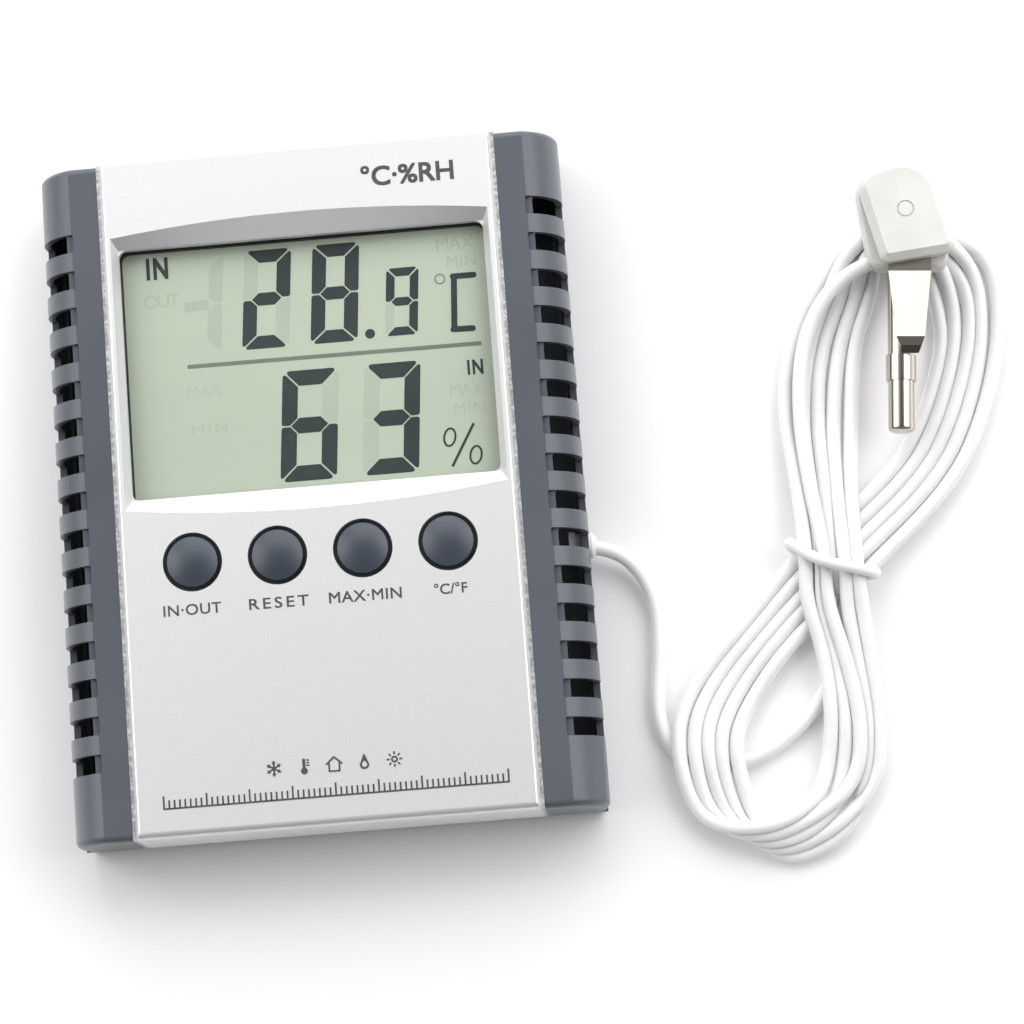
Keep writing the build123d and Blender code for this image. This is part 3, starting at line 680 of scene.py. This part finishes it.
def addRing(center, across, up, stroke, z, turn=0.0):          # a flat oval ring, in mm
    bpy.ops.mesh.primitive_circle_add(vertices=40, radius=1, fill_type="NGON")
    ring = bpy.context.object
    ring.scale = (across * mm, up * mm, 1)
    applyPlace(ring)
    pick(ring)
    bpy.ops.object.mode_set(mode="EDIT")
    bpy.ops.mesh.select_all(action="SELECT")
    bpy.ops.mesh.inset(thickness=stroke * mm)
    bpy.ops.mesh.delete(type="FACE")             # the inset leaves the inner face selected
    bpy.ops.object.mode_set(mode="OBJECT")
    ring.rotation_euler = (0, 0, turn)
    ring.location = (center[0] * mm, center[1] * mm, z)
    applyPlace(ring)
    return ring


def addStroke(start, end, width, z):             # a flat straight stroke between two points, in mm
    length = hypot(end[0] - start[0], end[1] - start[1])
    stroke = addPlate(-length / 2 * mm, length / 2 * mm, -width / 2 * mm, width / 2 * mm, 0)
    stroke.rotation_euler = (0, 0, Vector((end[0] - start[0], end[1] - start[1])).angle_signed(
        Vector((1, 0))))
    stroke.location = ((start[0] + end[0]) / 2 * mm, (start[1] + end[1]) / 2 * mm, z)
    applyPlace(stroke)
    return stroke


def addIn(corner, tall, wide, stroke, z):        # the two letters of the indoor sign
    left, low = corner
    right, high, inset = left + wide, low + tall, stroke / 2
    foot = left + wide * 0.40
    return [addStroke((left + inset, low), (left + inset, high), stroke, z),
            addStroke((foot, low), (foot, high), stroke, z),
            addStroke((right - inset, low), (right - inset, high), stroke, z),
            addStroke((foot, high - inset), (right - inset, low + inset), stroke * 1.15, z)]


segmentInk = mottled("segmentInk", (0.032, 0.041, 0.044), (0.039, 0.048, 0.051), 0.5, 60, 3000,
                     0.000002, specular=0.2)
lineInk = mottled("lineInk", (0.15, 0.178, 0.148), (0.165, 0.193, 0.162), 0.5, 60, 3000, 0.000002,
                  specular=0.2)
ghostInk = mottled("ghostInk", (0.385, 0.425, 0.365), (0.41, 0.45, 0.388), 0.4, 60, 3000, 0.000002,
                   specular=0.2)


def addDisplay(settings):
    top, depth = displayTop, settings["inkDepth"]
    lit = [addDigit(look, corner, letters, settings, top)
           for look, corner, letters, faint in digits if letters]
    lit.append(addDot(*settings["point"], top))
    for corner, tall, wide, stroke in settings["indoor"]:
        lit += addIn(corner, tall, wide, stroke, top)
    for start, end in settings["unit"]:          # strokes with round ends
        lit.append(addStroke(start, end, settings["unitStroke"], top))
        lit += [addDot(spot, settings["unitEnd"], top) for spot in (start, end)]
    lit.append(addStroke(*settings["percentSlash"], top))
    for center in settings["percentRings"]:
        lit.append(addRing(center, *settings["percentRing"], top, settings["percentLean"]))
    digitsLit = joinPieces(stagger(lit))
    thicken(digitsLit, depth)
    finishPiece(digitsLit, "displayDigits", segmentInk)

    center, radius, stroke = settings["degree"]
    lineWork = joinPieces([addStroke(*settings["rule"], top),
                           addRing(center, radius, radius, stroke, top)])
    thicken(lineWork, depth)
    finishPiece(lineWork, "displayLines", lineInk)

    faintOnes = [addDigit(look, corner, faint, settings, top)
                 for look, corner, letters, faint in digits if faint]
    faintOnes.append(addStroke(*settings["faintMinus"], top))
    faintOnes += [addWords(*word, top) for word in settings["faintWords"]]
    ghost = joinPieces(faintOnes)
    thicken(ghost, depth / 3)
    finishPiece(ghost, "displayGhosts", ghostInk)


addDisplay(displaySettings)
print("display made")


printSettings = {             # in mm, but for the depth
    "depth": 0.04 * mm,        # thickness of the printed ink
    "captionLow": -23.6, "captionHigh": -21.5,
    "captions": [("IN\u00b7OUT", -30.0, -19.1), ("RESET", -13.9, -2.7), ("MAX\u00b7MIN", 1.1, 14.7),
                 ("\u00b0C/\u00b0F", 20.8, 27.0)],
    "captionBold": 0.06,       # how much wider than the typeface's own the strokes are
    "unitSign": ("\u00b0C\u00b7%RH", 12.5, 30.2, 55.8, 59.9), "unitBold": 0.22,
    "scaleHalf": 32.0, "scaleLow": -59.4,
    "tick": 1.6, "longTick": 2.4, "tickStep": 1.0, "longEvery": 8,
    "iconLow": -55.0, "iconPitch": 5.6, "iconHeight": 2.9,
    "stroke": 0.34, "rayStroke": 0.32, "markStroke": 0.28, "barbStroke": 0.2,
}
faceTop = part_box("front_cover")[1][2]
printInk = mottled("printInk", (0.055, 0.053, 0.058), (0.072, 0.070, 0.075), 0.5, 400, 3000,
                   0.000004, specular=0.3)


def addSnowflake(x, y, size, z):
    arms = []
    for k in range(3):
        across = size / 2 * cos(k * pi / 3 + pi / 2)
        up = size / 2 * sin(k * pi / 3 + pi / 2)
        arms.append(addStroke((x - across, y - up), (x + across, y + up),
                              printSettings["stroke"], z))
        for side in (-1, 1):
            for tip in (-1, 1):
                turn = k * pi / 3 + pi / 2 + side * 0.75
                knee = (x + tip * across * 0.55, y + tip * up * 0.55)
                barb = (knee[0] + tip * cos(turn) * size * 0.17,
                        knee[1] + tip * sin(turn) * size * 0.17)
                arms.append(addStroke(knee, barb, printSettings["barbStroke"], z))
    return arms


def addSun(x, y, size, z):
    rays = [addRing((x, y), size * 0.22, size * 0.22, size * 0.11, z)]
    for k in range(8):
        turn = k * pi / 4
        rays.append(addStroke((x + cos(turn) * size * 0.31, y + sin(turn) * size * 0.31),
                              (x + cos(turn) * size * 0.5, y + sin(turn) * size * 0.5),
                              printSettings["rayStroke"], z))
    return rays


def addDrop(x, y, size, z):                      # a ring whose top is drawn out to a point
    drop = addRing((x, y - size * 0.18), size * 0.31, size * 0.31, size * 0.14, z)
    low = (y - size * 0.18) * mm
    reach = size * 0.31 * mm
    for vertex in drop.data.vertices:
        rise = max(0.0, (vertex.co.y - low) / reach)
        vertex.co.y += rise ** 3 * size * 0.36 * mm
        vertex.co.x = x * mm + (vertex.co.x - x * mm) * (1 - 0.35 * rise)
    return [drop]


def addGauge(x, y, size, z):                     # a little thermometer
    bulb = addDot((x, y - size * 0.3), size * 0.22, z)
    stem = addPlate((x - size * 0.1) * mm, (x + size * 0.1) * mm, (y - size * 0.15) * mm,
                    (y + size * 0.5) * mm, z)
    selectVerts(stem, lambda co: co.y > y * mm)
    bevelCorners(size * 0.09 * mm, 4)
    bpy.ops.object.mode_set(mode="OBJECT")
    marks = [addStroke((x + size * 0.17, y + size * up), (x + size * 0.34, y + size * up),
                       printSettings["markStroke"], z)
             for up in (0.05, 0.22, 0.39)]
    return [bulb, stem] + marks


def addHouse(x, y, size, z):
    stroke = printSettings["stroke"]
    walls = [addStroke((x - size * 0.33, y - size * 0.45), (x + size * 0.33, y - size * 0.45),
                       stroke, z)]
    for side in (-1, 1):
        walls.append(addStroke((x + side * size * 0.33, y - size * 0.5),
                               (x + side * size * 0.33, y + size * 0.08), stroke, z))
        walls.append(addStroke((x + side * size * 0.52, y - size * 0.02),
                               (x - side * 0.04, y + size * 0.47), stroke, z))
    return walls


def addPrints(settings):
    z, low, high = faceTop, settings["captionLow"], settings["captionHigh"]
    pieces = [addWords(text, left, right, low, high, z, settings["captionBold"])
              for text, left, right in settings["captions"]]
    pieces.append(addWords(*settings["unitSign"], z, settings["unitBold"]))
    half, foot, stroke = settings["scaleHalf"], settings["scaleLow"], settings["stroke"]
    count = round(2 * half / settings["tickStep"])
    for k in range(count + 1):
        x = -half + k * settings["tickStep"]
        tall = settings["tick"] if k % settings["longEvery"] else settings["longTick"]
        pieces.append(addStroke((x, foot), (x, foot + tall), stroke, z))
    pieces.append(addStroke((-half - stroke / 2, foot), (half + stroke / 2, foot), stroke, z))
    icons = [addSnowflake, addGauge, addHouse, addDrop, addSun]
    middle = settings["iconLow"] + settings["iconHeight"] / 2
    for k, addIcon in enumerate(icons):
        pieces += addIcon((k - 2) * settings["iconPitch"], middle, settings["iconHeight"], z)
    prints = joinPieces(stagger(pieces))
    thicken(prints, settings["depth"])
    finishPiece(prints, "facePrints", printInk)


addPrints(printSettings)
print("prints made")


studioSettings = {
    "floorSize": 3.0,
    "floorDrop": 0.2 * mm,     # keeps the floor off the object's lowest faces
    "lights": [                # place, size, power
        ((0.20, 0.95, 0.80), 1.3, 7.0),
        ((0.85, 0.20, 0.80), 0.8, 5.6),
        ((-0.85, 0.20, 0.80), 0.8, 5.0),
    ],
    "aim": (0.03, 0.0, 0.0),
    # brightness of the sky straight up and around it, and how much of it is left towards the
    # front and the back, under the horizon, and straight down
    "zenith": 0.10, "sky": 1.50, "front": 0.14, "back": 1.08, "below": 3.2, "nadir": 0.0,
    # where each of these fades into the next, as a direction's share along Z or Y
    "overheadFade": (0.86, 0.985), "alongFade": (-0.7, 0.7),
    "underFade": (-0.20, 0.0), "nadirFade": (-0.97, -0.88),
    "leak": 0.15,              # share of the light that the thin paper floor lets through
}


def addStudio(settings):
    size = settings["floorSize"]
    bpy.ops.mesh.primitive_plane_add(size=size, location=(0, 0, -settings["floorDrop"]))
    floor = bpy.context.object
    floor.name = "studioFloor"
    paper, tree, shader = newFinish("studioPaper", (0.95, 0.95, 0.955), 0.9, specular=0.1)
    # thin paper: a little light comes through it, and from below it hides nothing
    seeThrough = tree.nodes.new("ShaderNodeBsdfTransparent")
    facing = tree.nodes.new("ShaderNodeNewGeometry")
    thin = addRange(tree, facing.outputs["Backfacing"], settings["leak"], 1.0)
    both = tree.nodes.new("ShaderNodeMixShader")
    tree.links.new(thin.outputs["Result"], both.inputs["Fac"])
    tree.links.new(shader.outputs["BSDF"], both.inputs[1])
    tree.links.new(seeThrough.outputs["BSDF"], both.inputs[2])
    tree.links.new(both.outputs["Shader"], tree.nodes["Material Output"].inputs["Surface"])
    floor.data.materials.append(paper)
    for place, lightSize, power in settings["lights"]:
        bpy.ops.object.light_add(type="AREA", location=place)
        light = bpy.context.object
        light.data.shape = "SQUARE"
        light.data.size = lightSize
        light.data.energy = power
        aim = Vector(settings["aim"]) - Vector(place)
        light.rotation_euler = aim.to_track_quat("-Z", "Y").to_euler()
    world = bpy.data.worlds.new("studioWorld")
    world.use_nodes = True
    tree = world.node_tree
    place = tree.nodes.new("ShaderNodeTexCoord")
    split = tree.nodes.new("ShaderNodeSeparateXYZ")
    tree.links.new(place.outputs["Generated"], split.inputs["Vector"])
    overhead = addRange(tree, split.outputs["Z"], settings["sky"], settings["zenith"],
                        *settings["overheadFade"])
    along = addRange(tree, split.outputs["Y"], settings["front"], settings["back"],
                     *settings["alongFade"])
    under = addRange(tree, split.outputs["Z"], settings["below"], 1.0, *settings["underFade"])
    nadir = addRange(tree, split.outputs["Z"], settings["nadir"], 1.0, *settings["nadirFade"])
    strength = overhead.outputs["Result"]
    for share in (along, under, nadir):
        product = tree.nodes.new("ShaderNodeMath")
        product.operation = "MULTIPLY"
        tree.links.new(strength, product.inputs[0])
        tree.links.new(share.outputs["Result"], product.inputs[1])
        strength = product.outputs["Value"]
    background = tree.nodes["Background"]
    background.inputs["Color"].default_value = (1.0, 1.0, 1.0, 1.0)
    tree.links.new(strength, background.inputs["Strength"])
    bpy.context.scene.world = world
    bpy.context.scene.view_settings.view_transform = "Standard"


addStudio(studioSettings)
print("studio set")
